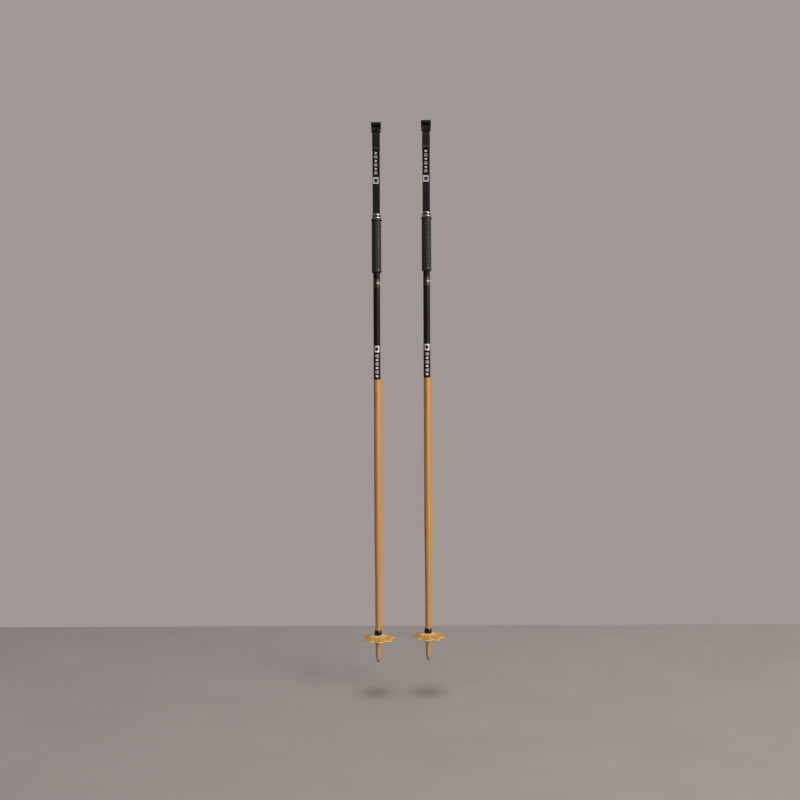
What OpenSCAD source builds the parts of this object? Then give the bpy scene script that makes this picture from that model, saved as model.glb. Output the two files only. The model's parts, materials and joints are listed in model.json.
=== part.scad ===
// A pair of one-piece ski poles, hung side by side by their wrist straps.
// Frame: the origin is on the axis of the bar that the left strap hangs on, +X runs along
// the bar to the right pole, +Y is the back and +Z is up. Sizes are in millimetres.
// "Below the cap" is a distance down from the top of a pole's cap.

/* [Pair] */
// Distance between the centre lines of the two poles
pole_spacing = 134; // [115:1:300]
// How much higher the right pole hangs on its strap
hang_step = 5; // [0:1:12]

/* [Strap] */
// Width of the webbing
webbing_w = 19.6; // [17:0.2:19.8]
// Thickness of one ply of webbing
webbing_t = 1.7; // [1.2:0.1:1.8]
// Width of the soft lining inside the top of the loop
lining_w = 20.8; // [20:0.2:22]
// Thickness of the lining
lining_t = 1.2; // [0.8:0.1:1.6]
// How far the lining reaches down each side of the bar
lining_leg = 38; // [20:1:60]
// Radius of the round in the loop that rests on a bar
bar_hole_r = 5; // [4.5:0.1:6]
// From the bar's axis down to the top of the left pole's cap
strap_drop = 210; // [160:5:300]
// Length above the cap over which the two plies are sewn together
sewn_length = 12; // [8:1:30]

/* [Label] */
// Width of the woven label
label_w = 16.5; // [12:0.5:18]
// Length of the woven label
label_length = 93.3; // [60:1:110]
// From the bar's axis down to the top of the left label
label_drop = 35.7; // [25:0.5:60]
// Thickness of the woven label
label_t = 0.5; // [0.3:0.1:0.8]
// How far the label sits from the middle of the webbing
label_shift = -0.8; // [-1.5:0.1:1.5]

/* [Buckle] */
// Width of the buckle's frame
buckle_w = 27; // [25:0.5:32]
// Height of the buckle's frame
buckle_h = 28.5; // [27:0.5:34]
// Depth of the buckle's frame, front to back
buckle_d = 8.4; // [8:0.1:10]
// From the bar's axis up to the bottom of the left buckle
buckle_lift = 8.3; // [8:0.1:12]
// Height of the lever's pivot above the bottom of the buckle
pivot_up = 12.2; // [12:0.1:13]
// Radius of the steel pin that the lever turns on
buckle_pin_r = 1; // [0.8:0.1:1.2]

/* [Cap] */
// Radius of the upper polished ring
ring_upper_r = 11; // [10.8:0.1:12]
// Height of the upper polished ring
ring_upper_h = 5.4; // [4:0.1:7]
// Radius of the black band between the rings
band_r = 11.4; // [11:0.1:12.5]
// Height of the black band
band_h = 2.6; // [2:0.1:4]
// Radius of the lower polished ring
ring_lower_r = 11.9; // [11:0.1:13]
// Height of the lower polished ring
ring_lower_h = 3.8; // [3:0.1:5]

/* [Grip] */
// Length of the rubber grip with both flanges
grip_length = 145.8; // [120:1:170]
// Radius of the rubber grip between its flanges
grip_r = 12.75; // [12:0.05:14.5]
// Radius of the grip's upper flange
flange_upper_r = 14.45; // [14:0.05:18]
// Radius of the grip's lower flange
flange_lower_r = 13.5; // [13:0.05:16]

/* [Shaft] */
// Length of a pole, from the top of its cap to its tip
pole_length = 1200; // [1100:10:1350]
// Outer radius of the straight part of the shaft
shaft_r = 9; // [8.5:0.1:9.2]
// Wall of the shaft
shaft_wall = 1.1; // [0.8:0.1:1.6]
// Length of the black film, from the grip down
wrap_length = 285.7; // [200:5:400]
// Thickness of the black film
wrap_t = 0.15; // [0.1:0.05:0.3]
// Outer radius of the shaft below its taper
shaft_end_r = 7.3; // [7.1:0.1:8]
// From the tip up to the bottom of the taper
taper_bottom_up = 165; // [120:1:220]
// Length of the taper
taper_length = 188; // [100:1:260]

/* [Basket] */
// Radius of the basket at the tips of its petals
basket_r = 44; // [38:0.5:50]
// Number of petals
petal_count = 8; // [6:1:10]
// Radius of the rounded end of a petal
petal_r = 10.6; // [8:0.1:11]
// Angle by which the first petal is turned from the front, left basket
petal_turn_left = 8; // [-20:1:20]
// Angle by which the first petal is turned from the front, right basket
petal_turn_right = -6; // [-20:1:20]
// How far the petals' tips droop below the hub
basket_droop = 11.5; // [6:0.5:16]
// Thickness of the basket's skin
basket_t = 2.2; // [1.6:0.1:3]
// Radius of the hole in each petal
petal_hole_r = 2.6; // [1.5:0.1:3.5]

/* [Tip] */
// Radius of the ferrule
ferrule_r = 6.6; // [6.2:0.1:7]
// Radius of the steel tip
tip_r = 3; // [2.5:0.1:3.5]
// How far the steel tip stands out of the ferrule
tip_out = 7; // [5:0.5:12]

/* [Hidden] */
$fn = 96;
eps = 0.01;

// Strap, cap and hinge heights. The strap bends on the hinge line just above the cap.
hinge_lift = 2.6;
slot_w = 20.4;
slot_t = 4.4;
loop_inner_r = bar_hole_r + lining_t;
loop_outer_r = loop_inner_r + webbing_t;
cap_h = ring_upper_h + band_h + ring_lower_h;
// Narrow end of the gap between the two plies
ply_gap = 0.1;
// How far the crown of the loop reaches below the bar's axis
crown_leg = 12;

// Grip and head
sleeve_inner_r = 10.9;
head_depth = 18.2;
slot_depth = 14.2;
head_spigot = 22;
strap_pin_r = 1.5;
strap_pin_depth = 7.2;
sleeve_end = cap_h + grip_length;
shaft_top = cap_h + head_depth;
core_end = sleeve_end - 1.6;

// Lower end, measured below the cap
taper_bottom = pole_length - taper_bottom_up;
taper_top = taper_bottom - taper_length;
collar_top = pole_length - 85;
collar_h = 13;
basket_top = collar_top + collar_h - 0.5;
shaft_bottom = collar_top + 6;
hub_r = 11.6;
hub_sleeve_r = 8.2;
hub_h = 24.5;
// The basket's hub sits in a groove of the ferrule
groove_r = 6.2;
ferrule_end = pole_length - tip_out;

// Buckle: the cheeks stand either side of the webbing's throat. The throat is lower at the
// back, where the tail comes out, and the frame closes the back of the slot above it.
throat_half = 10.6;
throat_h = 16.6;
throat_back_h = 14.3;
front_slot_half = 8.4;
front_slot_top = 19.7;
slot_back_y = 2.6;
lever_half = 10.2;
pivot_y = -1.4;
barrel_r = 2.4;
lever_bore_r = buckle_pin_r + 0.05;
back_bar_y = 3;

// Colours
col_webbing = "#2b2a2b";
col_lining = "#39383a";
col_label = "#141415";
col_buckle = "#1d1c1e";
col_lever = "#4b4a4c";
col_polish = "#dadad8";
col_gloss = "#121213";
col_inner = "#26262a";
col_grip = "#232324";
col_gold = "#b67c3e";
col_wrap = "#211f1e";
col_collar = "#19140f";
col_basket = "#c68f49";
col_ferrule = "#c19a6b";
col_steel = "#77777a";

// side is 0 for the left pole and 1 for the right pole
left = 0;
right = 1;

// Distance from the bar's axis down to the hinge line
function hinge_drop(side) = strap_drop - hinge_lift - side * hang_step;

// Angle between a strand of the loop and the upright
function strand_tilt(side) = asin((loop_outer_r - webbing_t) / hinge_drop(side));

function side_normal(path, i) =
    let (along = path[min(i + 1, len(path) - 1)] - path[max(i - 1, 0)])
    [-along.y, along.x] / norm(along);

// Outline of two circles, one straight below the other, with their common tangents
function loop_points(r_top, r_end, drop) =
    let (tilt = asin((r_top - r_end) / drop), top_steps = 32, end_steps = 8)
    concat(
        [for (i = [0 : top_steps])
            let (a = i * (180 + 2 * tilt) / top_steps - tilt) r_top * [cos(a), sin(a)]],
        [for (i = [0 : end_steps])
            let (a = 180 + tilt + i * (180 - 2 * tilt) / end_steps)
            [r_end * cos(a), r_end * sin(a) - drop]]
    );

// Puts a part at its strap's place on the bar
module on_bar(side) {
    translate([side * pole_spacing, 0, 0]) children();
}

// Puts a part in a pole, with z = 0 at the top of the cap
module in_pole(side) {
    translate([side * pole_spacing, 0, side * hang_step - strap_drop]) children();
}

// Puts a part in a buckle, with z = 0 at the bottom of its frame
module in_buckle(side) {
    translate([side * pole_spacing, 0, side * hang_step + buckle_lift]) children();
}

// Extrudes a side outline along X: its x is the part's Y and its y is the part's Z
module across(width) {
    rotate([90, 0, 90]) linear_extrude(height = width, center = true) children();
}

// A strip of even thickness that follows a path
module ribbon(path, thickness) {
    last = len(path) - 1;
    polygon(concat(
        [for (i = [0 : last]) path[i] + side_normal(path, i) * thickness / 2],
        [for (i = [last : -1 : 0]) path[i] - side_normal(path, i) * thickness / 2]
    ));
}

module rounded_rect(width, height, r) {
    translate([r, 0]) square([width - 2 * r, height]);
    translate([0, r]) square([width, height - 2 * r]);
    for (x = [r, width - r], y = [r, height - r]) translate([x, y]) circle(r = r);
}

// A turned disc with rounded edges, its top at z = 0
module turned_disc(r, h, edge) {
    rotate_extrude() translate([0, -h]) {
        square([r - edge, h]);
        translate([0, edge]) square([r, h - 2 * edge]);
        for (y = [edge, h - edge]) translate([r - edge, y]) circle(r = edge, $fn = 48);
    }
}

// Slot through the cap for the strap, from z = 0 down
module strap_slot(depth) {
    translate([-slot_w / 2, -slot_t / 2, -depth]) cube([slot_w, slot_t, depth + 1]);
}

// ---- Strap ----

// Both plies of the loop, with a round end on the hinge line
module webbing_loop(side) {
    across(webbing_w) difference() {
        polygon(loop_points(loop_outer_r, webbing_t - 0.05, hinge_drop(side)));
        polygon(loop_points(loop_inner_r, ply_gap / 2, hinge_drop(side) - sewn_length));
    }
    across(webbing_w) translate([0, -hinge_drop(side)]) circle(r = webbing_t);
}

// One ply below the crown: reach is -1 for the front strand and 1 for the back strand
module strand(side, reach) {
    color(col_webbing) on_bar(side) intersection() {
        webbing_loop(side);
        translate([-20, reach < 0 ? -20 : 0, -400]) cube([40, 20, 400 - crown_leg]);
    }
}

module strap_front(side) {
    strand(side, -1);
}

module strap_back(side) {
    strand(side, 1);
}

// The turn over the bar, the neck up into the buckle and the tail behind it
module strap_crown(side) {
    lift = side * hang_step + buckle_lift;
    tail = [
        [2.05, 7], [2.05, lift + 8.5], [2.6, lift + 11.4], [4.2, lift + 12.9], [5.7, lift + 11.6],
        [6.5, lift + 6], [9.3, 3], [9.6, -6], [9.1, -45]
    ];
    color(col_webbing) on_bar(side) {
        intersection() {
            webbing_loop(side);
            translate([-20, -20, -crown_leg]) cube([40, 40, 40 + crown_leg]);
        }
        across(webbing_w)
            translate([-1.6, loop_inner_r + 0.6]) square([4.2, lift - loop_inner_r + 2.6]);
        across(webbing_w) ribbon(tail, webbing_t);
    }
}

module strap_lining(side) {
    tilt = asin((loop_inner_r - ply_gap / 2) / (hinge_drop(side) - sewn_length));
    color(col_lining) on_bar(side) across(lining_w) intersection() {
        difference() {
            polygon(loop_points(loop_inner_r, ply_gap / 2, hinge_drop(side) - sewn_length));
            circle(r = bar_hole_r);
            translate([0, -lining_leg - 1]) polygon([
                [-bar_hole_r + (lining_leg + 1) * tan(tilt), 0],
                [bar_hole_r - (lining_leg + 1) * tan(tilt), 0],
                [bar_hole_r * cos(tilt), lining_leg + 1], [-bar_hole_r * cos(tilt), lining_leg + 1]
            ]);
        }
        translate([-20, -lining_leg]) square([40, lining_leg + 20]);
    }
}

module strap_label(side) {
    color(col_label) on_bar(side) translate([label_shift, 0, 0]) across(label_w)
        rotate(strand_tilt(side))
            translate([-loop_outer_r - label_t, side * hang_step - label_drop - label_length])
                square([label_t, label_length]);
}

// ---- Buckle ----

module buckle_frame(side) {
    color(col_buckle) in_buckle(side) difference() {
        union() {
            difference() {
                rotate([90, 0, 0]) linear_extrude(height = buckle_d, center = true)
                    translate([-buckle_w / 2, 0]) rounded_rect(buckle_w, buckle_h, 2.2);
                translate([-throat_half, -10, -1]) cube([2 * throat_half, 20, throat_back_h + 1]);
                translate([-throat_half, -10, -1])
                    cube([2 * throat_half, 10 + slot_back_y, throat_h + 1]);
                translate([-front_slot_half, -10, throat_h - 1])
                    cube([2 * front_slot_half, 10 + slot_back_y, front_slot_top - throat_h + 1]);
            }
            translate([-throat_half - 1, back_bar_y, 1])
                cube([2 * throat_half + 2, buckle_d / 2 - back_bar_y, 5]);
        }
        translate([0, pivot_y, pivot_up]) rotate([0, 90, 0])
            cylinder(r = buckle_pin_r, h = buckle_w + 2, center = true);
    }
}

module buckle_lever(side) {
    color(col_lever) in_buckle(side) difference() {
        union() {
            across(2 * lever_half) translate([pivot_y, pivot_up]) circle(r = barrel_r);
            across(2 * lever_half) polygon([
                [-4.2, 14.8], [-2.8, 14.8], [-2.8, pivot_up], [-2.3, pivot_up - 3],
                [-2.4, 2.6], [-3.4, 0.8], [-4.5, 0.8], [-4.2, 5]
            ]);
        }
        translate([0, pivot_y, pivot_up]) rotate([0, 90, 0])
            cylinder(r = lever_bore_r, h = buckle_w, center = true);
    }
}

module buckle_pin(side) {
    color(col_polish) in_buckle(side) translate([0, pivot_y, pivot_up]) rotate([0, 90, 0])
        cylinder(r = buckle_pin_r, h = buckle_w - 1, center = true);
}

// ---- Cap and head ----

module strap_anchor(side) {
    color(col_webbing) in_pole(side) difference() {
        translate([-webbing_w / 2, -webbing_t, -cap_h - slot_depth + 0.6])
            cube([webbing_w, 2 * webbing_t, cap_h + slot_depth]);
        translate([0, 0, -cap_h - strap_pin_depth]) rotate([90, 0, 0])
            cylinder(r = strap_pin_r, h = 10, center = true);
    }
}

module strap_pin(side) {
    color(col_steel) in_pole(side) translate([0, 0, -cap_h - strap_pin_depth]) rotate([90, 0, 0])
        cylinder(r = strap_pin_r, h = 2 * sleeve_inner_r - 2, center = true);
}

module cap_ring_upper(side) {
    color(col_polish) in_pole(side) difference() {
        turned_disc(ring_upper_r, ring_upper_h, 1);
        strap_slot(ring_upper_h + 1);
    }
}

module cap_band(side) {
    color(col_gloss) in_pole(side) translate([0, 0, -ring_upper_h]) difference() {
        turned_disc(band_r, band_h, 0.6);
        strap_slot(band_h + 1);
    }
}

module cap_ring_lower(side) {
    color(col_polish) in_pole(side) translate([0, 0, -ring_upper_h - band_h]) difference() {
        turned_disc(ring_lower_r, ring_lower_h, 0.9);
        strap_slot(ring_lower_h + 1);
    }
}

module head_core(side) {
    color(col_inner) in_pole(side) translate([0, 0, -cap_h]) difference() {
        union() {
            translate([0, 0, -head_depth]) cylinder(r = sleeve_inner_r, h = head_depth);
            translate([0, 0, -head_depth - head_spigot])
                cylinder(r = shaft_r - shaft_wall, h = head_spigot + eps);
        }
        strap_slot(slot_depth);
        translate([0, 0, -strap_pin_depth]) rotate([90, 0, 0])
            cylinder(r = strap_pin_r, h = 2 * sleeve_inner_r - 2, center = true);
    }
}

// ---- Grip ----

module grip_core(side) {
    color(col_inner) in_pole(side) translate([0, 0, -core_end]) difference() {
        cylinder(r = sleeve_inner_r, h = core_end - shaft_top);
        translate([0, 0, -1]) cylinder(r = shaft_r, h = core_end);
    }
}

module grip_sleeve(side) {
    bead_upper = 4.2;
    bead_lower = 3.7;
    color(col_grip) in_pole(side) rotate_extrude() difference() {
        union() {
            translate([sleeve_inner_r, 1 - sleeve_end])
                square([grip_r - sleeve_inner_r, grip_length - 2]);
            translate([flange_upper_r - bead_upper, -cap_h - bead_upper]) circle(r = bead_upper);
            translate([flange_lower_r - bead_lower, -sleeve_end + bead_lower])
                circle(r = bead_lower);
        }
        translate([0, -sleeve_end - 1]) square([sleeve_inner_r, grip_length + 2]);
    }
}

// ---- Shaft ----

module shaft(side) {
    inner_r = shaft_r - shaft_wall;
    inner_end_r = shaft_end_r - shaft_wall;
    color(col_gold) in_pole(side) rotate_extrude() polygon([
        [inner_r, -shaft_top], [shaft_r, -shaft_top], [shaft_r, -taper_top],
        [shaft_end_r, -taper_bottom], [shaft_end_r, -shaft_bottom],
        [inner_end_r, -shaft_bottom], [inner_end_r, -taper_bottom], [inner_r, -taper_top]
    ]);
}

module shaft_wrap(side) {
    color(col_wrap) in_pole(side) translate([0, 0, -sleeve_end - wrap_length]) difference() {
        cylinder(r = shaft_r + wrap_t, h = wrap_length);
        translate([0, 0, -1]) cylinder(r = shaft_r, h = wrap_length + 2);
    }
}

// ---- Basket and tip ----

module basket_collar(side) {
    top_r = 8.5;
    bottom_r = 10.25;
    color(col_collar) in_pole(side) translate([0, 0, -collar_top]) rotate_extrude() polygon([
        [shaft_end_r, 0], [top_r - 0.7, 0], [top_r - 0.1, -0.6], [top_r + 0.1, -1.6],
        [bottom_r, -collar_h + 2.6], [bottom_r - 0.1, -collar_h + 1.2],
        [bottom_r - 0.9, -collar_h], [shaft_end_r, -collar_h]
    ]);
}

module petal_outline() {
    circle(r = basket_r - petal_r);
    for (i = [0 : petal_count - 1])
        rotate(i * 360 / petal_count - 90) translate([basket_r - petal_r, 0]) circle(r = petal_r);
}

module basket(side) {
    turn = side == left ? petal_turn_left : petal_turn_right;
    color(col_basket) in_pole(side) translate([0, 0, -basket_top]) rotate(turn) difference() {
        intersection() {
            rotate_extrude() polygon([
                [groove_r, -0.5], [hub_r - 1, -0.5], [hub_r, -1.2],
                [basket_r + 1, -basket_droop], [basket_r + 1, -basket_droop - basket_t],
                [hub_r, -2.2 - basket_t], [hub_sleeve_r, -7], [hub_sleeve_r - 0.4, -hub_h],
                [groove_r, -hub_h]
            ]);
            translate([0, 0, -40]) linear_extrude(height = 41) petal_outline();
        }
        for (i = [0 : petal_count - 1])
            rotate(i * 360 / petal_count - 90) translate([basket_r - petal_r + 1, 0, -40])
                cylinder(r = petal_hole_r, h = 41, $fn = 48);
    }
}

module ferrule(side) {
    spigot_r = shaft_end_r - shaft_wall;
    color(col_ferrule) in_pole(side) difference() {
        rotate_extrude() polygon([
            [0, 26 - shaft_bottom], [spigot_r - 0.8, 26 - shaft_bottom],
            [spigot_r, 24 - shaft_bottom], [spigot_r, -shaft_bottom], [shaft_end_r, -shaft_bottom],
            [shaft_end_r, -basket_top - 0.5], [groove_r, -basket_top - 0.5],
            [groove_r, -basket_top - hub_h], [ferrule_r, -basket_top - hub_h],
            [ferrule_r, 7 - ferrule_end], [4.4, -ferrule_end], [0, -ferrule_end]
        ]);
        translate([0, 0, -ferrule_end - 1]) cylinder(r = tip_r, h = 19);
    }
}

module steel_tip(side) {
    color(col_steel) in_pole(side) rotate_extrude() polygon([
        [0, 18 - ferrule_end], [tip_r, 18 - ferrule_end], [tip_r, 1 - pole_length],
        [tip_r - 0.5, -pole_length], [0, 1.4 - pole_length]
    ]);
}

strap_crown(left);  // left_strap_crown
strap_front(left);  // left_strap_front
strap_back(left);  // left_strap_back
strap_lining(left);  // left_strap_lining
strap_label(left);  // left_strap_label
buckle_frame(left);  // left_buckle_frame
buckle_lever(left);  // left_buckle_lever
buckle_pin(left);  // left_buckle_pin
strap_anchor(left);  // left_strap_anchor
strap_pin(left);  // left_strap_pin
cap_ring_upper(left);  // left_cap_ring_upper
cap_band(left);  // left_cap_band
cap_ring_lower(left);  // left_cap_ring_lower
head_core(left);  // left_head_core
grip_core(left);  // left_grip_core
grip_sleeve(left);  // left_grip_sleeve
shaft(left);  // left_shaft
shaft_wrap(left);  // left_shaft_wrap
basket_collar(left);  // left_basket_collar
basket(left);  // left_basket
ferrule(left);  // left_ferrule
steel_tip(left);  // left_steel_tip
strap_crown(right);  // right_strap_crown
strap_front(right);  // right_strap_front
strap_back(right);  // right_strap_back
strap_lining(right);  // right_strap_lining
strap_label(right);  // right_strap_label
buckle_frame(right);  // right_buckle_frame
buckle_lever(right);  // right_buckle_lever
buckle_pin(right);  // right_buckle_pin
strap_anchor(right);  // right_strap_anchor
strap_pin(right);  // right_strap_pin
cap_ring_upper(right);  // right_cap_ring_upper
cap_band(right);  // right_cap_band
cap_ring_lower(right);  // right_cap_ring_lower
head_core(right);  // right_head_core
grip_core(right);  // right_grip_core
grip_sleeve(right);  // right_grip_sleeve
shaft(right);  // right_shaft
shaft_wrap(right);  // right_shaft_wrap
basket_collar(right);  // right_basket_collar
basket(right);  // right_basket
ferrule(right);  // right_ferrule
steel_tip(right);  // right_steel_tip
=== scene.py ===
"""Looks for a pair of one-piece ski poles that hang side by side by their wrist straps.

Lengths are in millimetres, and MM turns them into metres where a mesh is made. Places come from
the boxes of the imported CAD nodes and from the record.
"""

import json
import math

import bmesh
import bpy
from mathutils import Matrix, Vector


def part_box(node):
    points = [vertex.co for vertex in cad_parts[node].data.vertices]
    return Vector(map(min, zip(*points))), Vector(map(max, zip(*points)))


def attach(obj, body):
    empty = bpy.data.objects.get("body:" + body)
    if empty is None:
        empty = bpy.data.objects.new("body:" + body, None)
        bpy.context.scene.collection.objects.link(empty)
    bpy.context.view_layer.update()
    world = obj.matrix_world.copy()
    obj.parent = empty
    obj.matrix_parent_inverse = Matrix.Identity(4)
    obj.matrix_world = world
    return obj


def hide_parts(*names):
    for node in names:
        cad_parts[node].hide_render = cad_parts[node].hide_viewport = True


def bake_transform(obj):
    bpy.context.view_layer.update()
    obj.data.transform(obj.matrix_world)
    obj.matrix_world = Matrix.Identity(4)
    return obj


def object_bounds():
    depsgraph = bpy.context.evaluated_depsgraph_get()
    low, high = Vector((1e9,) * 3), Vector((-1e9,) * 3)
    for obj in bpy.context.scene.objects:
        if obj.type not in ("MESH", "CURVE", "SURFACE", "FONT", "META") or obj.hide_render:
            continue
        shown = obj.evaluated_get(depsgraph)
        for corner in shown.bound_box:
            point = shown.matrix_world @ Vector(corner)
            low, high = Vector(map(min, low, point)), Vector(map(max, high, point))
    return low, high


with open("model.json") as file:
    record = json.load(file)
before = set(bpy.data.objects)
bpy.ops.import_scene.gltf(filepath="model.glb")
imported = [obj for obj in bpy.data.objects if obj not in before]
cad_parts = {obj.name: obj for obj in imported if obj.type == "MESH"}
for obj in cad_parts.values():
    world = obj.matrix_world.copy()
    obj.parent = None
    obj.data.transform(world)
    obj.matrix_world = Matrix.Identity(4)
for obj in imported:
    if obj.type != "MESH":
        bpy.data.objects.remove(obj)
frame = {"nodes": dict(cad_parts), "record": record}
cad_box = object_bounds()

MM = 0.001
SIDES = ("left", "right")
JOINTS = {joint["name"]: joint for joint in frame["record"]["behaviour"]["joints"]}

# Strap: one ply of webbing, the lining inside the top of the loop and the bar it hangs on
WEBBING_W, WEBBING_T = 19.6, 1.7
LINING_W, LINING_T, LINING_LEG = 20.8, 1.2, 38.0
BAR_R = 5.0
PLY_R = BAR_R + LINING_T + WEBBING_T / 2
LABEL_W, LABEL_T, LABEL_SHIFT = 16.5, 0.5, -0.8
# Steps along a straight strand and around the bar, and the spacing they are evened out to
STRAND_STEPS, ROUND_STEPS, BAND_STEP = 12, 14, 0.7
# Where on the bar's round each ply turns up into the buckle, in degrees
FRONT_LEAVES, BACK_LEAVES = 122, 56
# Buckle, measured from the bottom of its frame
BUCKLE_W, BUCKLE_H, BUCKLE_D = 27.0, 28.5, 8.4
THROAT_HALF, THROAT_H, THROAT_BACK_H = 10.6, 16.6, 14.3
SLOT_HALF, SLOT_TOP, SLOT_BACK = 8.4, 19.7, 2.6
LEVER_HALF, BARREL_R = 10.2, 2.4
BUCKLE_PIN_R, PIN_HEAD_R = 1.0, 1.5
# Cap: each part's radius, rounding and depth below the cap's top, and the strap's slot
CAP_RADII, CAP_EDGES = (11.0, 11.4, 11.9), (0.8, 0.5, 0.8)
CAP_UPPER_END, CAP_BAND_END, CAP_MIDDLE = 4.4, 8.3, 6.0
CAP_SLOT_W, CAP_SLOT_T = 20.6, 4.0
# Grip
SLEEVE_INNER_R, GRIP_R = 10.9, 12.75
FLANGE_TOP_R, BEAD_TOP_R = 14.45, 4.2
FLANGE_END_R, BEAD_END_R = 13.5, 3.7
PADS_ROUND, PAD_H, GROOVE_DEPTH, CROWN_H = 12, 13.0, 0.95, 0.14
# Half widths of a groove's floor and of the slopes beside it, and how far the crown rises
FLOOR_HALF, SLOPE_HALF, CROWN_HALF = 0.4, 1.45, 3.0
# Mesh rows along and columns around one pad
PAD_ROWS, PAD_COLUMNS = 28, 14
# Marks printed on the film and woven in the label, and how deep a print's back face is sunk
FIGURE_H, BADGE_W, PRINT_SINK = 7.4, 15.4, 0.02
# Basket
HUB_R, HUB_SLEEVE_R, HUB_BORE_R = 11.6, 8.2, 6.2
BASKET_R, PETALS, PETAL_R, NOTCH_R, PETAL_HOLE_R = 44.0, 8, 13.4, 37.0, 2.6
PETAL_TURN = {"left": 8.0, "right": -6.0}
# The basket's thickness at the hub and at the rim, and how far in from the edge the rim's bead starts
BASKET_T, RIM_INSET = (2.4, 1.7), 2.3
COLLAR_BORE_R = 7.32
# Deep enough to cut through any piece
CUT_THROUGH = 40.0


# ---- Points and outlines ----

def mix(a, b, t):
    return a + (b - a) * t


def step(low, high, value):
    """0 below low, 1 above high and smooth between them."""
    t = min(max((value - low) / (high - low), 0.0), 1.0)
    return t * t * (3 - 2 * t)


def bump(value, half_width):
    """1 at zero, falling smoothly to 0 at half_width either side."""
    return 1 - step(0, half_width, abs(value))


def rounded(points, radius, closed=True, steps=5):
    """The points with each corner rounded off. An open line keeps its two ends."""
    result = []
    for i, point in enumerate(points):
        corner = Vector(point)
        if not closed and i in (0, len(points) - 1):
            result.append(corner)
            continue
        before = Vector(points[i - 1]) - corner
        after = Vector(points[(i + 1) % len(points)]) - corner
        start = corner + before.normalized() * min(radius, before.length * 0.45)
        end = corner + after.normalized() * min(radius, after.length * 0.45)
        for k in range(steps + 1):
            t = k / steps
            result.append(mix(mix(start, corner, t), mix(corner, end, t), t))
    return result


def arc(centre, radius, start, end, steps):
    """Points on a circle between two angles in degrees."""
    angles = [math.radians(mix(start, end, k / steps)) for k in range(steps + 1)]
    return [Vector((centre[0] + radius * math.cos(a), centre[1] + radius * math.sin(a))) for a in angles]


def even_steps(path, spacing):
    """The same line with its points an even distance apart."""
    points = [Vector(path[0])]
    for point in path[1:]:
        if (Vector(point) - points[-1]).length > 1e-4:
            points.append(Vector(point))
    lengths = [0.0]
    for a, b in zip(points, points[1:]):
        lengths.append(lengths[-1] + (b - a).length)
    count = max(2, round(lengths[-1] / spacing))
    result, segment = [], 0
    for k in range(count + 1):
        wanted = lengths[-1] * k / count
        while segment < len(points) - 2 and lengths[segment + 1] < wanted:
            segment += 1
        span = lengths[segment + 1] - lengths[segment]
        result.append(mix(points[segment], points[segment + 1], (wanted - lengths[segment]) / span))
    return result


# ---- Meshes ----

def mesh_data(name, points, faces):
    """A mesh from points in millimetres."""
    mesh = bpy.data.meshes.new(name)
    mesh.from_pydata([Vector(point) * MM for point in points], [], faces)
    return mesh


def link(name, data):
    """A new object in the scene, from a mesh, curve, lamp or camera."""
    made = bpy.data.objects.new(name, data)
    bpy.context.scene.collection.objects.link(made)
    return made


def mesh_object(name, points, faces):
    return link(name, mesh_data(name, points, faces))


def filled_bmesh(mesh):
    bm = bmesh.new()
    bm.from_mesh(mesh)
    return bm


def finish_bmesh(name, bm, sharp=35):
    bmesh.ops.remove_doubles(bm, verts=bm.verts, dist=1e-7)
    bmesh.ops.recalc_face_normals(bm, faces=bm.faces)
    mesh = bpy.data.meshes.new(name)
    bm.to_mesh(mesh)
    bm.free()
    made = link(name, mesh)
    return smooth(made, sharp)


def smooth(made, sharp=35):
    """Smooth shading, apart from edges sharper than the angle."""
    made.data.shade_smooth()
    made.data.set_sharp_from_angle(angle=math.radians(sharp))
    return made


def grid_faces(rows, columns, rows_close=True):
    """Quads between rings of points. The last ring joins the first if rows_close."""
    return [
        (i * columns + j, i * columns + (j + 1) % columns,
         (i + 1) % rows * columns + (j + 1) % columns, (i + 1) % rows * columns + j)
        for i in range(rows if rows_close else rows - 1)
        for j in range(columns)
    ]


def add_points(made, name, values):
    """A number on each point of a mesh, for its material to read."""
    made.data.attributes.new(name, "FLOAT", "POINT").data.foreach_set("value", values)


def lathe(name, profile, x, columns=96, rows_close=True):
    """A turned part about the upright line at x, from (radius, height) points."""
    points = []
    for r, z in profile:
        for j in range(columns):
            a = 2 * math.pi * j / columns
            points.append((x + r * math.cos(a), r * math.sin(a), z))
    mesh = mesh_data("shape", points, grid_faces(len(profile), columns, rows_close))
    return finish_bmesh(name, filled_bmesh(mesh))


def strip(name, path, section, x):
    """A band that follows (y, z) points, with its cross-section given as (across, lift) points.

    The points keep their places across and along the band in millimetres for a woven material."""
    points, across, along = [], [], []
    travelled = 0.0
    for i, here in enumerate(path):
        travelled += (here - path[i - 1]).length if i else 0.0
        ahead = (path[min(i + 1, len(path) - 1)] - path[max(i - 1, 0)]).normalized()
        lift = Vector((ahead.y, -ahead.x))
        for a, h in section:
            points.append((x + a, here.x + lift.x * h, here.y + lift.y * h))
            across.append(a)
            along.append(travelled)
    columns = len(section)
    faces = grid_faces(len(path), columns, rows_close=False)
    faces.append(tuple(range(columns)))
    faces.append(tuple(reversed(range(len(points) - columns, len(points)))))
    made = mesh_object(name, points, faces)
    add_points(made, "across", across)
    add_points(made, "along", along)
    bm = filled_bmesh(made.data)
    bmesh.ops.recalc_face_normals(bm, faces=bm.faces)
    bm.to_mesh(made.data)
    bm.free()
    return smooth(made, 50)


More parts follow.
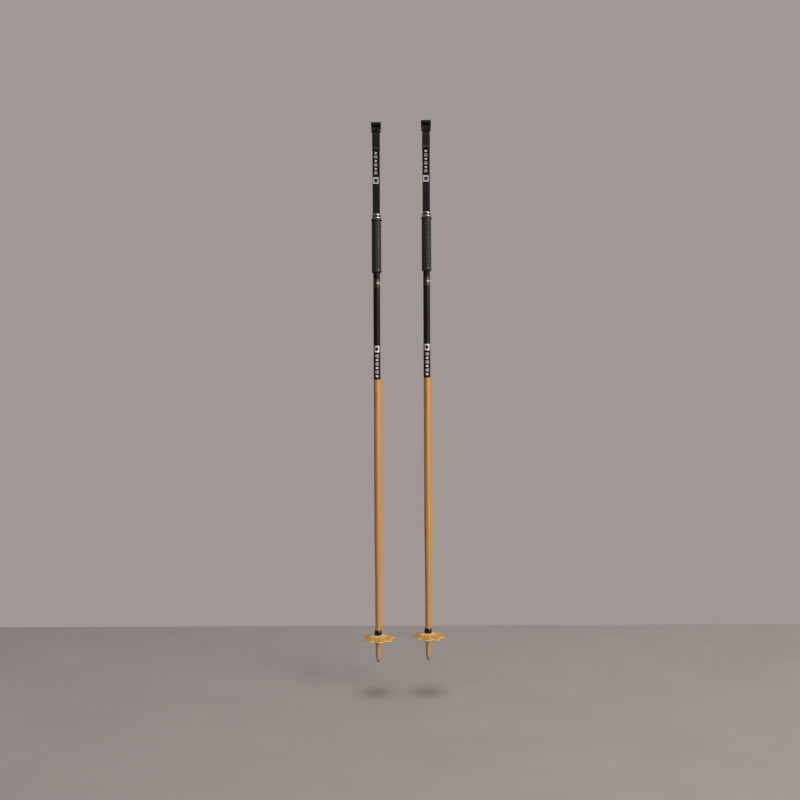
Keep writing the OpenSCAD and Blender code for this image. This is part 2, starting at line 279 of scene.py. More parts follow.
def band_section(width, thickness, edge_groove=0.0):
    """Cross-section of a woven band: round edges, and a shallow groove beside each selvedge."""
    half, r = width / 2, thickness / 2
    upper = [(0.0, 0.97), (0.3, 0.97), (0.6, 0.97), (0.78, 0.97), (0.84, 0.97 - edge_groove),
             (0.88, 0.97)]
    side = [(half * a, r * h) for a, h in upper]
    side += [(half - r + r * math.cos(a), r * math.sin(a))
             for a in (math.radians(d) for d in (75, 50, 25, 0))]
    top = [(-a, h) for a, h in reversed(side[1:])] + side
    return top + [(a, -h) for a, h in reversed(top[1:-1])]


def plate(name, outline, holes, thickness, bevel, turn, place):
    """A flat plate with rounded edges, cut from a filled outline, then turned and put in place."""
    curve = bpy.data.curves.new(name, "CURVE")
    curve.dimensions = "2D"
    curve.fill_mode = "BOTH"
    curve.extrude = (thickness / 2 - bevel) * MM
    curve.bevel_depth = bevel * MM
    curve.bevel_resolution = 3
    curve.offset = -bevel * MM
    for loop in (outline, *holes):
        spline = curve.splines.new("POLY")
        spline.points.add(len(loop) - 1)
        for point, (u, v) in zip(spline.points, loop):
            point.co = (u * MM, v * MM, 0, 1)
        spline.use_cyclic_u = True
    shape = link(name, curve)
    depsgraph = bpy.context.evaluated_depsgraph_get()
    mesh = bpy.data.meshes.new_from_object(shape.evaluated_get(depsgraph))
    bpy.data.objects.remove(shape)
    mesh.transform(Matrix.Translation(Vector(place) * MM) @ turn)
    return finish_bmesh(name, filled_bmesh(mesh))


# Turns a flat outline so that its width runs along X and its height along Z
FACING_FRONT = Matrix.Rotation(math.pi / 2, 4, "X")
# Turns a side outline so that its u is Y and its v is Z, with its thickness along X
FACING_SIDE = Matrix(((0, 0, 1, 0), (1, 0, 0, 0), (0, 1, 0, 0), (0, 0, 0, 1)))


def raised(name, outlines, thickness, mapping, cut=1.0):
    """Thin closed solids with flat (u, v) outlines, laid on a surface by mapping(u, v, lift)."""
    bm = bmesh.new()
    for outline in outlines:
        bm.faces.new([bm.verts.new((u, v, 0)) for u, v in outline])
    reach = max(abs(vert.co.x) for vert in bm.verts)
    for k in range(-int(reach / cut), int(reach / cut) + 1):
        geometry = bm.verts[:] + bm.edges[:] + bm.faces[:]
        bmesh.ops.bisect_plane(bm, geom=geometry, plane_co=(k * cut, 0, 0), plane_no=(1, 0, 0))
    grown = bmesh.ops.extrude_face_region(bm, geom=bm.faces[:])["geom"]
    lifted = [item for item in grown if isinstance(item, bmesh.types.BMVert)]
    bmesh.ops.translate(bm, vec=(0, 0, thickness), verts=lifted)
    for vert in bm.verts:
        vert.co = Vector(mapping(*vert.co)) * MM
    return finish_bmesh(name, bm)


def add_thread(bm, start, end, out, radius):
    """One stitch: a thin bowed thread with both ends sunk in the cloth."""
    ahead = (end - start).normalized()
    beside = ahead.cross(out).normalized()
    sides = 6
    # Share of the way along, lift out of the cloth and girth, both as shares of the radius
    stops = ((0.0, -1.2, 0.6), (0.12, 0.3, 1.0), (0.5, 0.75, 1.0), (0.88, 0.3, 1.0), (1.0, -1.2, 0.6))
    rings = []
    for t, lift, girth in stops:
        middle = mix(start, end, t) + out * radius * lift
        ring = []
        for k in range(sides):
            a = 2 * math.pi * k / sides
            offset = beside * math.cos(a) + out * math.sin(a)
            ring.append(bm.verts.new((middle + offset * radius * girth) * MM))
        rings.append(ring)
    for near, far in zip(rings, rings[1:]):
        for k in range(sides):
            bm.faces.new((near[k], near[(k + 1) % sides], far[(k + 1) % sides], far[k]))
    bm.faces.new(rings[0])
    bm.faces.new(list(reversed(rings[-1])))


def stitches(name, seams, radius):
    """Threads as one piece, from (start, end, outward) triples."""
    bm = bmesh.new()
    for start, end, out in seams:
        add_thread(bm, Vector(start), Vector(end), Vector(out), radius)
    return finish_bmesh(name, bm, 60)


# ---- Materials ----

def linear(colour):
    """A hex colour as linear RGBA."""
    parts = [int(colour[i:i + 2], 16) / 255 for i in (1, 3, 5)]
    return tuple(c / 12.92 if c <= 0.04045 else ((c + 0.055) / 1.055) ** 2.4 for c in parts) + (1.0,)


def add_node(tree, kind, inputs, **properties):
    """A shader node. Each input is a value or the socket that feeds it."""
    node = tree.nodes.new("ShaderNode" + kind)
    for key, value in properties.items():
        setattr(node, key, value)
    for key, value in inputs.items():
        if isinstance(value, bpy.types.NodeSocket):
            tree.links.new(value, node.inputs[key])
        else:
            node.inputs[key].default_value = value
    return node


class Finish:
    """A procedural material: one Principled shader and the nodes that feed it."""

    def __init__(self, name, colour, roughness, **sockets):
        self.material = bpy.data.materials.new(name)
        self.material.use_nodes = True
        self.tree = self.material.node_tree
        self.shader = self.tree.nodes["Principled BSDF"]
        self.shader.inputs["Base Color"].default_value = linear(colour)
        self.shader.inputs["Roughness"].default_value = roughness
        for socket, value in sockets.items():
            self.shader.inputs[socket.replace("_", " ")].default_value = value

    def add(self, kind, inputs, **properties):
        return add_node(self.tree, kind, inputs, **properties)

    def math(self, operation, *values):
        return self.add("Math", dict(enumerate(values)), operation=operation).outputs[0]

    def point_value(self, name):
        return self.add("Attribute", {}, attribute_name=name).outputs["Fac"]

    def position(self, stretch=(1, 1, 1)):
        """Place on the object in metres, stretched along its axes."""
        place = self.add("TexCoord", {}).outputs["Object"]
        return self.add("Mapping", {"Vector": place, "Scale": stretch}).outputs["Vector"]

    def height(self):
        place = self.add("TexCoord", {}).outputs["Object"]
        return self.add("SeparateXYZ", {"Vector": place}).outputs["Z"]

    def noise(self, size, detail=3.0, stretch=(1, 1, 1)):
        """Noise with features of about size millimetres."""
        inputs = {"Vector": self.position(stretch), "Scale": 1 / (size * MM), "Detail": detail}
        return self.add("TexNoise", inputs).outputs[0]

    def ripple(self, phase):
        """A wave from 0 to 1 that repeats each time the phase grows by one."""
        wave = self.math("SINE", self.math("MULTIPLY", phase, 2 * math.pi))
        return self.math("MULTIPLY_ADD", wave, 0.5, 0.5)

    def fit(self, value, low, high, to_low=0.0, to_high=1.0):
        inputs = {"Value": value, "From Min": low, "From Max": high, "To Min": to_low, "To Max": to_high}
        return self.add("MapRange", inputs).outputs[0]

    def shade(self, factor, first, second):
        """A colour between two, each a hex colour or a socket."""
        colours = [linear(c) if isinstance(c, str) else c for c in (first, second)]
        node = self.add("Mix", {0: factor, 6: colours[0], 7: colours[1]}, data_type="RGBA")
        return node.outputs[2]

    def colour(self, socket):
        self.tree.links.new(socket, self.shader.inputs["Base Color"])

    def roughness(self, socket):
        self.tree.links.new(socket, self.shader.inputs["Roughness"])

    def relief(self, height, depth):
        """Bump from a 0 to 1 height, with its depth in millimetres."""
        node = self.add("Bump", {"Height": height, "Distance": depth * MM, "Strength": 1.0})
        self.tree.links.new(node.outputs["Normal"], self.shader.inputs["Normal"])


def woven(name, dark, light, pitch, depth, roughness, **sockets):
    """Cloth woven in a herringbone: threads along it, and a slant that turns at its middle."""
    made = Finish(name, dark, roughness, **sockets)
    across, along = made.point_value("across"), made.point_value("along")
    slant = made.math("ADD", made.math("ABSOLUTE", across), along)
    twill = made.ripple(made.math("DIVIDE", slant, pitch))
    threads = made.ripple(made.math("DIVIDE", across, pitch * 0.55))
    weave = made.math("MULTIPLY_ADD", twill, 0.65, made.math("MULTIPLY", threads, 0.35))
    fuzz = made.noise(2.5, 5.0)
    tone = made.math("MULTIPLY", weave, made.fit(fuzz, 0.25, 0.75, 0.55, 1.1))
    made.colour(made.shade(tone, dark, light))
    made.relief(made.math("MULTIPLY_ADD", made.noise(0.35, 2.0), 0.35, weave), depth)
    return made.material


def thread(name, dark, light):
    """Sewing thread or a light woven figure."""
    made = Finish(name, light, 0.7, Sheen_Weight=0.15, Specular_IOR_Level=0.25)
    lines = made.ripple(made.math("DIVIDE", made.height(), 0.7 * MM))
    tone = made.math("MULTIPLY_ADD", lines, 0.6, made.math("MULTIPLY", made.noise(1.2), 0.5))
    made.colour(made.shade(tone, dark, light))
    made.relief(lines, 0.06)
    return made.material


def moulded(name, colour, worn, roughness, grain, **sockets):
    """Moulded plastic or rubber: a fine grain, slightly uneven gloss, and paler worn edges."""
    made = Finish(name, colour, roughness, **sockets)
    grains = made.noise(grain, 4.0)
    patches = made.noise(9.0, 3.0)
    edges = made.add("NewGeometry", {}).outputs["Pointiness"]
    wear = made.math("MULTIPLY", made.fit(edges, 0.52, 0.62), made.fit(patches, 0.35, 0.65))
    made.colour(made.shade(made.math("MULTIPLY", wear, 0.55), colour, worn))
    made.roughness(made.fit(patches, 0.3, 0.7, roughness - 0.06, roughness + 0.08))
    made.relief(grains, grain * 0.06)
    return made.material


def metal(name, colour, dark, roughness, stretch, depth, **sockets):
    """Metal with fine scratches along one direction and soft changes of tone."""
    made = Finish(name, colour, roughness, **sockets)
    scratches = made.noise(0.5, 4.0, stretch)
    patches = made.noise(28.0, 3.0)
    tone = made.math("MULTIPLY_ADD", scratches, 0.35, made.math("MULTIPLY", patches, 0.5))
    made.colour(made.shade(made.fit(tone, 0.2, 0.7), colour, dark))
    made.roughness(made.fit(scratches, 0.3, 0.7, roughness - 0.05, roughness + 0.07))
    made.relief(scratches, depth)
    return made.material


def printed_film():
    made = Finish("shaft_film", "#141211", 0.5, Specular_IOR_Level=0.2)
    specks = made.noise(0.8, 6.0)
    made.colour(made.shade(made.fit(specks, 0.45, 0.75), "#0e0c0b", "#191615"))
    made.roughness(made.fit(made.noise(14.0), 0.3, 0.7, 0.45, 0.6))
    made.relief(made.noise(0.5, 3.0, (1, 1, 0.15)), 0.008)
    return made.material


def rubber():
    """Grip rubber: near black in the grooves, which is painted shade, and greyer where hands have worn the
    pads.
    """
    made = Finish("grip_rubber", "#0a0a0a", 0.5, Specular_IOR_Level=0.55)
    # The mix greys the worn pads and paints shade into the grooves
    worn = made.math("MULTIPLY", made.point_value("pad_wear_groove_shade"), made.fit(made.noise(6.0), 0.3, 0.7, 0.7, 1.0))
    made.colour(made.shade(worn, "#020202", "#1e1e1f"))
    made.roughness(made.fit(worn, 0.0, 1.0, 0.75, 0.25))
    made.relief(made.noise(0.4, 4.0), 0.004)
    return made.material


def amber():
    """Translucent moulded plastic, paler where it is thin at its rim, with a painted highlight along the rim
    and painted light on the upper side around the hub.
    """
    made = Finish("basket_amber", "#cf9e4a", 0.36, Subsurface_Weight=0.35, Subsurface_Scale=0.004,
                  Transmission_Weight=0.12, IOR=1.46, Coat_Weight=0.1, Coat_Roughness=0.3)
    rim = made.point_value("rim")
    flow = made.noise(7.0, 4.0, (1, 1, 0.4))
    body = made.shade(made.fit(flow, 0.3, 0.7), "#ba8a31", "#cf9e4a")
    # The pale colour is a painted highlight along the rim, partly paler thin plastic, and painted light on
    # the hub's upper side
    made.colour(made.shade(rim, body, "#ead196"))
    made.roughness(made.fit(flow, 0.3, 0.7, 0.3, 0.44))
    made.relief(made.noise(0.9, 3.0), 0.02)
    return made.material


FINISHES = {
    "webbing": woven("webbing", "#0d0c0e", "#232224", 1.7, 0.16, 0.8, Sheen_Weight=0.03,
                     Specular_IOR_Level=0.15),
    "lining": woven("lining", "#232224", "#454447", 0.9, 0.1, 0.92, Sheen_Weight=0.3,
                    Specular_IOR_Level=0.15),
    "label": woven("label", "#030304", "#0b0b0c", 0.6, 0.05, 0.7, Specular_IOR_Level=0.12),
    "light_thread": thread("light_thread", "#8f8f8c", "#cfcfcb"),
    "grey_thread": thread("grey_thread", "#3a3a3a", "#666664"),
    "dark_thread": thread("dark_thread", "#151516", "#2a2a2c"),
    "buckle_plastic": moulded("buckle_plastic", "#040404", "#121213", 0.6, 0.5,
                              Specular_IOR_Level=0.15),
    "lever_plastic": moulded("lever_plastic", "#111012", "#29282b", 0.6, 0.45,
                             Specular_IOR_Level=0.2),
    # A darker copy of the polished metal for the cap's upper ring: painted shade
    "shaded_polished_metal": metal("shaded_polished_metal", "#a4a4a2", "#969694", 0.42, (1, 1, 14), 0.0002, Metallic=1.0),
    "polished_metal": metal("polished_metal", "#b2b2b0", "#a2a2a0", 0.4, (1, 1, 14), 0.0002,
                            Metallic=1.0),
    "gloss_band": moulded("gloss_band", "#030304", "#0b0b0c", 0.34, 2.0, Specular_IOR_Level=0.3),
    "inner_plastic": moulded("inner_plastic", "#26262a", "#38383d", 0.5, 0.6),
    "grip_rubber": rubber(),
    "shaft_gold": metal("shaft_gold", "#d09445", "#c4883a", 0.52, (1, 1, 0.06), 0.006, Metallic=0.2,
                        Specular_IOR_Level=0.3),
    "shaft_film": printed_film(),
    "print_white": moulded("print_white", "#d3d1ca", "#e4e2dc", 0.42, 0.3),
    "print_gold": moulded("print_gold", "#c2a877", "#d6c091", 0.45, 0.3),
    "print_umber": moulded("print_umber", "#6e4a1f", "#855c2b", 0.5, 0.3),
    "print_brown": moulded("print_brown", "#26140d", "#3a2116", 0.42, 0.4),
    "print_dark": moulded("print_dark", "#222021", "#3a3839", 0.4, 0.3),
    "collar_plastic": moulded("collar_plastic", "#080202", "#170a08", 0.2, 1.2, Specular_IOR_Level=0.42),
    "basket_plastic": amber(),
    "ferrule_gold": metal("ferrule_gold", "#cfa270", "#c09260", 0.5, (1, 1, 0.1), 0.004,
                          Metallic=0.25),
    "steel": metal("steel", "#8f8c80", "#64625a", 0.36, (1, 1, 4), 0.01, Metallic=1.0),
}

# CAD nodes that are shown as they are, and their finish
KEPT_NODES = {
    "strap_pin": "steel",
    "head_core": "inner_plastic",
    "grip_core": "inner_plastic",
    "shaft": "shaft_gold",
    "ferrule": "ferrule_gold",
    "steel_tip": "steel",
}


def give(place, made, body, finish, slot, *nodes):
    """Gives a piece its material and the body it rides on, and hides the CAD nodes it stands for. The slot
    is not used.
    """
    made.data.materials.clear()
    made.data.materials.append(FINISHES[finish])
    if nodes:
        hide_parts(*[place.name(node) for node in nodes])
    if body:
        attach(made, place.name(body))


# ---- Where things are ----

class Place:
    """Where one pole and its strap hang, in millimetres."""

    def __init__(self, side):
        self.side = side
        self.x = JOINTS[f"{side}_pole_swing"]["pos_m"][0] / MM
        self.hinge_z = JOINTS[f"{side}_pole_swing"]["pos_m"][2] / MM
        self.cap_z = self.high("cap_ring_upper").z
        self.buckle_z = self.low("buckle_frame").z
        pivot = JOINTS[f"{side}_buckle_lever"]["pos_m"]
        self.pivot = Vector((pivot[1], pivot[2])) / MM
        # The strands lean in from the loop's round to the hinge line
        lean_in = PLY_R - WEBBING_T / 2
        self.tilt = math.asin(lean_in / -self.hinge_z)
        self.strand_length = lean_in / math.tan(self.tilt)

    def name(self, part):
        return f"{self.side}_{part}"

    def low(self, node):
        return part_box(self.name(node))[0] / MM

    def high(self, node):
        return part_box(self.name(node))[1] / MM

    def on_buckle(self, y=0):
        """A point level with the bottom of the buckle's frame, in the middle of its width."""
        return (self.x, y, self.buckle_z)

    def strand(self, depth, lift=0.0, reach=-1):
        """(y, z) on the front strand (reach -1) or the back one (1), depth down from the bar."""
        outward = PLY_R + lift
        y = reach * (outward * math.cos(self.tilt) - depth * math.sin(self.tilt))
        return Vector((y, -outward * math.sin(self.tilt) - depth * math.cos(self.tilt)))

    def on_strand(self, u, depth, lift):
        """A point on the outside of the front strand."""
        y, z = self.strand(depth, WEBBING_T / 2 + lift)
        return (self.x + u, y, z)

    def on_shaft(self, radius, u, z, lift):
        """A point on the shaft, u around it to the right from the front."""
        a = u / radius
        return (self.x + (radius + lift) * math.sin(a), -(radius + lift) * math.cos(a), z)


# ---- Strap ----

# Away from the front of the strap
OUT = (0, -1, 0)


def strand_leg(place, reach, anchor_z):
    """From the stub inside the cap up one side of the loop."""
    y = reach * WEBBING_T / 2
    points = [Vector((y, anchor_z)), Vector((y, place.hinge_z))]
    for k in range(1, STRAND_STEPS):
        points.append(place.strand(place.strand_length * (1 - k / STRAND_STEPS), reach=reach))
    return points


def webbing(place):
    """The two plies: up from the cap, over the bar and into the buckle, and the tail behind."""
    rise = place.buckle_z
    anchor_z = place.low("strap_anchor").z
    tilt = math.degrees(place.tilt)
    front = strand_leg(place, -1, anchor_z)
    front += arc((0, 0), PLY_R, 180 + tilt, FRONT_LEAVES, ROUND_STEPS)
    front += [(-1.6, 7.7), (-0.5, 9.6), (-0.45, rise + 8.8)]
    back = strand_leg(place, 1, anchor_z)
    back += arc((0, 0), PLY_R, -tilt, BACK_LEAVES, ROUND_STEPS)
    into_buckle = [(2.5, 7.4), (1.95, 9.2), (2.05, rise + 8.5)]
    over_back = [(2.4, rise + 11.8), (3.7, rise + 13.4), (5.2, rise + 12.9)]
    tail = [(6.2, rise + 8), (6.7, rise + 4), (9.0, 4), (9.6, -8), (9.2, -28), (9.1, -45)]
    back += into_buckle + over_back + tail
    section = band_section(WEBBING_W, WEBBING_T, 0.16)
    plies = []
    for name, path in (("front", front), ("back", back)):
        eased = rounded(path, 3.0, closed=False)
        plies.append(strip(f"{place.side}_ply_{name}", even_steps(eased, BAND_STEP), section, place.x))
    joined = join(place.name("webbing"), plies)
    give(place, joined, None, "webbing", "webbing",
         "strap_crown", "strap_front", "strap_back", "strap_anchor")
    # Above the hinge line the webbing belongs with the strap and at the cap's top with the pole, but it
    # rides on no body; the two lines below only form those bodies' names
    place.name("strap")
    place.name("pole")
    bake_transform(joined)


def join(name, parts):
    """Several meshes as one piece, with their point values kept."""
    bm = bmesh.new()
    for part in parts:
        bm.from_mesh(part.data)
    joined = parts[0]
    bm.to_mesh(joined.data)
    bm.free()
    for part in parts[1:]:
        bpy.data.objects.remove(part)
    joined.name = name
    return smooth(joined, 50)


def lining(place):
    """The soft lining over the bar, and the sewing inside it."""
    inset = -WEBBING_T / 2 - LINING_T / 2
    tilt = math.degrees(place.tilt)
    leg_steps = 6
    legs = [LINING_LEG * (1 - k / leg_steps) for k in range(leg_steps)]
    path = [place.strand(depth, inset) for depth in legs]
    path += arc((0, 0), PLY_R + inset, 180 + tilt, -tilt, 40)
    path += [place.strand(depth, inset, 1) for depth in reversed(legs)]
    section = band_section(LINING_W, LINING_T, 0.2)
    made = strip(place.name("lining"), even_steps(path, BAND_STEP), section, place.x)
    give(place, made, "strap", "lining", "lining", "strap_lining")
    first, pitch, stitch, seam_u = 3.5, 3.4, 2.4, 8.6
    seams = []
    for depth in [first + pitch * k for k in range(10)]:
        for reach in (-1, 1):
            y, z = place.strand(depth, inset - LINING_T / 2, reach)
            low_y, low_z = place.strand(depth + stitch, inset - LINING_T / 2, reach)
            for u in (place.x - seam_u, place.x + seam_u):
                seams.append(((u, y, z), (u, low_y, low_z), (0, -reach, 0)))
    sewn = stitches(place.name("lining_stitches"), seams, 0.22)
    give(place, sewn, "strap", "dark_thread", "lining")


def stitch_row(place, first, pitch, count, slant, start, end):
    """Stitches side by side on the front strand, each from one depth to another."""
    row = []
    for k in range(count):
        u = first + pitch * k
        row.append((place.on_strand(u, start, 0), place.on_strand(u + slant, end, 0), OUT))
    return row


def label(place):
    """The woven label on the front strand, with plain figures, a badge and its sewing."""
    top = -place.high("strap_label").z
    bottom = -place.low("strap_label").z
    rows = 40
    path = [place.strand(mix(top, bottom, k / rows), WEBBING_T / 2 + LABEL_T / 2) for k in range(rows + 1)]
    made = strip(place.name("label"), path, band_section(LABEL_W, LABEL_T), place.x + LABEL_SHIFT)
    give(place, made, "strap", "label", "label", "strap_label")

    def on_label(u, depth, lift):
        return place.on_strand(u + LABEL_SHIFT, depth, LABEL_T + lift)

    badge_middle = bottom - 9.3
    badge = rounded(rectangle(0, badge_middle, BADGE_W, 17.8), 1.6)
    for name, outlines, thickness, finish in (
            ("label_marks", figure_column(top + 11.0, 10.6, 8.6), 0.16, "light_thread"),
            ("label_badge", [badge], 0.16, "light_thread"),
            ("label_badge_centre", [polygon(0, badge_middle, 5.6, 6, 30)], 0.3, "dark_thread")):
        figure = raised(place.name(name), outlines, thickness, on_label, cut=20)
        give(place, figure, "strap", finish, "label")

    edge_u, pitch, stitch = LABEL_W / 2 - 0.75, 3.1, 2.2
    seams = []
    for k in range(int((bottom - top - 3) / pitch)):
        depth = top + 1.6 + pitch * k
        for u in (-edge_u, edge_u):
            seams.append((on_label(u, depth, 0), on_label(u, depth + stitch, 0), OUT))
    for depth in (top + 1.0, bottom - 0.6):
        for k in range(5):
            u = -6.6 + 2.9 * k
            seams.append((on_label(u, depth, 0), on_label(u + 2.1, depth, 0), OUT))
    sewn = stitches(place.name("label_stitches"), seams, 0.2)
    give(place, sewn, "strap", "dark_thread", "label")

    # A dense row of light stitches holds the plies together above the label
    tack = stitch_row(place, -8.4, 0.84, 21, 0.3, top - 3.2, top - 0.4)
    bartack = stitches(place.name("bartack"), tack, 0.34)
    give(place, bartack, "strap", "grey_thread", "webbing")

    # Where the plies meet above the cap they are sewn with slanted stitches
    crossing = stitch_row(place, -8.0, 1.6, 10, 0.8, place.strand_length - 11.5, place.strand_length - 8.2)
    crossed = stitches(place.name("ply_stitches"), crossing, 0.24)
    give(place, crossed, "strap", "dark_thread", "webbing")


def rectangle(u, v, width, height):
    return [(u - width / 2, v - height / 2), (u + width / 2, v - height / 2),
            (u + width / 2, v + height / 2), (u - width / 2, v + height / 2)]


def polygon(u, v, radius, sides, turn):
    return [p[:] for p in arc((u, v), radius, turn, turn + 360, sides)[:-1]]


def figure_column(first, pitch, width, count=6):
    """Plain shapes down a line: a diamond, then a pair of bars, and so on."""
    shapes = []
    for k in range(count):
        v = first + pitch * k
        if k % 2 == 0:
            shapes.append([(0, v - FIGURE_H / 2), (width / 2, v), (0, v + FIGURE_H / 2), (-width / 2, v)])
        else:
            for offset in (-FIGURE_H * 0.3, FIGURE_H * 0.3):
                shapes.append(rectangle(0, v + offset, width, FIGURE_H * 0.28))
    return shapes


# ---- Buckle ----

def buckle_case(place):
    """The frame: an arch with a throat for the webbing, a slot above it and a bar across it."""
    half, top = BUCKLE_W / 2, BUCKLE_H
    outline = rounded([
        (-half + 1.1, 0.6), (-half + 0.4, THROAT_H), (-half, top - 1.6), (-half + 1.6, top),
        (half - 1.6, top), (half, top - 1.6), (half - 0.4, THROAT_H), (half - 1.1, 0.6),
        (half - 2.0, 0), (THROAT_HALF, 0), (THROAT_HALF, THROAT_BACK_H),
        (-THROAT_HALF, THROAT_BACK_H), (-THROAT_HALF, 0), (-half + 2.0, 0),
    ], 1.4)
    arch = plate(place.name("arch"), outline, [], BUCKLE_D, 0.7, FACING_FRONT, place.on_buckle())
    # The throat's front and the slot above it stop at the frame's back wall
    cut_d = BUCKLE_D + 2.2
    slot = rounded([
        (-THROAT_HALF, 8), (THROAT_HALF, 8), (THROAT_HALF, THROAT_H), (SLOT_HALF, THROAT_H),
        (SLOT_HALF, SLOT_TOP), (-SLOT_HALF, SLOT_TOP), (-SLOT_HALF, THROAT_H), (-THROAT_HALF, THROAT_H),
    ], 0.9)
    cutter = plate(place.name("cutter"), slot, [], cut_d, 0.2, FACING_FRONT,
                   place.on_buckle(SLOT_BACK - cut_d / 2))
    cut_away(arch, cutter)
    bar = plate(place.name("bar"), rounded([(3.0, 1), (4.2, 1), (4.2, 6), (3.0, 6)], 0.5), [],
                2 * THROAT_HALF + 1.2, 0.2, FACING_SIDE, place.on_buckle())
    made = join(place.name("buckle_case"), [arch, bar])
    smooth(made)
    give(place, made, "strap", "buckle_plastic", "buckle_plastic", "buckle_frame")


def buckle_panel(place):
    """A paler panel with fine ribs in the frame's top bar."""
    low, high = SLOT_TOP + 2.1, BUCKLE_H - 1.9
    middle, front = (low + high) / 2, -BUCKLE_D / 2
    base = plate(place.name("panel"), rounded(rectangle(0, middle, 20.4, high - low), 1.2), [],
                 0.9, 0.3, FACING_FRONT, place.on_buckle(front))
    ribs = []
    for k in range(10):
        outline = rounded(rectangle(-8.1 + 1.8 * k, middle, 0.8, 4.4), 0.35)
        ribs.append(plate(place.name("rib"), outline, [], 0.7, 0.25, FACING_FRONT,
                          place.on_buckle(front - 0.35)))
    made = join(place.name("buckle_panel"), [base, *ribs])
    give(place, made, "strap", "lever_plastic", "buckle_plastic")


def cam_lever(place):
    """The lever: a barrel on the pin, a flat thumb plate and four grip ribs low on its front."""
    pivot = Vector((place.pivot.x, place.pivot.y - place.buckle_z))
    face, tooth = -4.2, -4.65
    teeth = []
    for z in (2.2, 4.0, 5.8, 7.6):
        teeth += [(face, z + 0.9), (tooth, z + 0.65), (tooth, z + 0.15), (face, z - 0.1)]
    outline = rounded([(-3.3, 0.7), (-2.5, 2.6), (-2.35, pivot.y - 2.9)], 0.5, closed=False)
    outline += arc(pivot, BARREL_R, -55, 80, 14)
    outline += rounded([(-1.6, 14.7), (-2.6, 15.0), (face, 14.9), (face, 8.8)], 0.6, closed=False)
    outline += [Vector(p) for p in reversed(teeth)]
    outline += rounded([(face, 1.7), (-4.55, 0.7), (-3.4, 0.65)], 0.3, closed=False)
    bore = arc(pivot, BUCKLE_PIN_R + 0.12, 360, 0, 24)[:-1]
    made = plate(place.name("cam_lever"), outline, [bore], 2 * LEVER_HALF, 0.12, FACING_SIDE,
                 place.on_buckle())
    give(place, made, "lever", "lever_plastic", "lever_plastic", "buckle_lever")


def buckle_rivet(place):
    """The pin across the frame, with a low domed head at each end."""
    reach = BUCKLE_W / 2
    ends = [(0.0, -reach - 0.5), (0.9, -reach - 0.4), (PIN_HEAD_R, -reach - 0.05),
            (PIN_HEAD_R, -reach + 0.1), (BUCKLE_PIN_R, -reach + 0.1)]
    profile = ends + [(r, -z) for r, z in reversed(ends)]
    made = lathe(place.name("buckle_rivet"), profile, 0, columns=32, rows_close=False)
    made.data.transform(Matrix.Translation(Vector((place.x, place.pivot.x, place.pivot.y)) * MM)
                        @ Matrix.Rotation(math.pi / 2, 4, "Y"))
    give(place, made, "strap", "polished_metal", "polished_metal", "buckle_pin")


def cut_away(made, cutter):
    """Takes the cutter's shape out of a piece, and removes the cutter."""
    modifier = made.modifiers.new("cut", "BOOLEAN")
    modifier.operation = "DIFFERENCE"
    modifier.solver = "EXACT"
    modifier.object = cutter
    depsgraph = bpy.context.evaluated_depsgraph_get()
    mesh = bpy.data.meshes.new_from_object(made.evaluated_get(depsgraph))
    made.modifiers.clear()
    made.data = mesh
    bpy.data.objects.remove(cutter)
    smooth(made)


# ---- Cap and grip ----

def cap(place):
    """Two polished rings with a black band between them, and the strap's slot through all three."""
    levels = (0.0, CAP_UPPER_END, CAP_BAND_END, place.cap_z - place.low("cap_ring_lower").z)
    nodes = ("cap_ring_upper", "cap_band", "cap_ring_lower")
    # The upper ring gets the darker copy of the polished metal, as painted shade
    finishes = ("shaded_polished_metal", "gloss_band", "polished_metal")
    slots = ("polished_metal", "gloss_band", "polished_metal")
    for k, node in enumerate(nodes):
        radius, top, bottom = CAP_RADII[k], place.cap_z - levels[k], place.cap_z - levels[k + 1]
        # The profile starts just off the axis, so that the lathe has no point on it
        profile = rounded([(0.01, top), (radius, top), (radius, bottom), (0.01, bottom)],
                          CAP_EDGES[k], closed=False)
        made = lathe(f"{place.side}_{node}_turned", profile, place.x, rows_close=False)
        outline = rectangle(place.x, 0, CAP_SLOT_W, CAP_SLOT_T)
        cutter = plate(place.name("slot_cutter"), outline, [], CUT_THROUGH, 0.3,
                       Matrix.Identity(4), (0, 0, place.cap_z - CAP_MIDDLE))
        cut_away(made, cutter)
        give(place, made, "pole", finishes[k], slots[k], node)


def lattice_shift(row):
    """How far a row of the grip's mesh is turned, in columns."""
    return 0.5 * (row % 2)


def lattice_faces(rows, columns):
    """Triangles between rings of points that are turned by half a column in every other ring."""
    faces = []
    for i in range(rows):
        here, there = i * columns, (i + 1) % rows * columns
        for j in range(columns):
            k = (j + 1) % columns
            if i % 2:
                faces += [(here + j, there + k, there + j), (here + j, here + k, there + k)]
            else:
                faces += [(here + j, here + k, there + j), (here + k, there + k, there + j)]
    return faces


def beads(depth, length):
    """Radius of the rounded flange at a depth below the sleeve's top, or 0 away from both."""
    ends = ((depth, BEAD_TOP_R, FLANGE_TOP_R), (length - depth, BEAD_END_R, FLANGE_END_R))
    radii = [outer - r + math.sqrt(r ** 2 - (away - r) ** 2) if abs(away - r) < r else 0.0
             for away, r, outer in ends]
    return max(radii)


def lattice_radius(depth, turn, length):
    """Radius of the sleeve at a depth below its top and a turn of 0 to 1."""
    fade = step(8.5, 11.5, depth) * step(7.0, 10.0, length - depth)
    u, v = turn * PADS_ROUND, depth / PAD_H
    scale = 1 / math.hypot(PADS_ROUND / (2 * math.pi * GRIP_R), 1 / PAD_H)
    groove, crown = 1.0, 1.0
    for line in (u + v, u - v):
        away = abs(line - round(line)) * scale
        groove *= step(FLOOR_HALF, SLOPE_HALF, away)
        crown *= step(FLOOR_HALF, CROWN_HALF, away)
    body = GRIP_R - fade * (GROOVE_DEPTH * (1 - groove) - CROWN_H * crown + 0.05)
    ends = beads(depth, length)
    # A soft maximum leaves a small hollow where a flange meets the body
    ease = 0.5
    blend = max(ease - abs(body - ends), 0) / ease
    return max(body, ends) + blend * blend * ease * 0.25


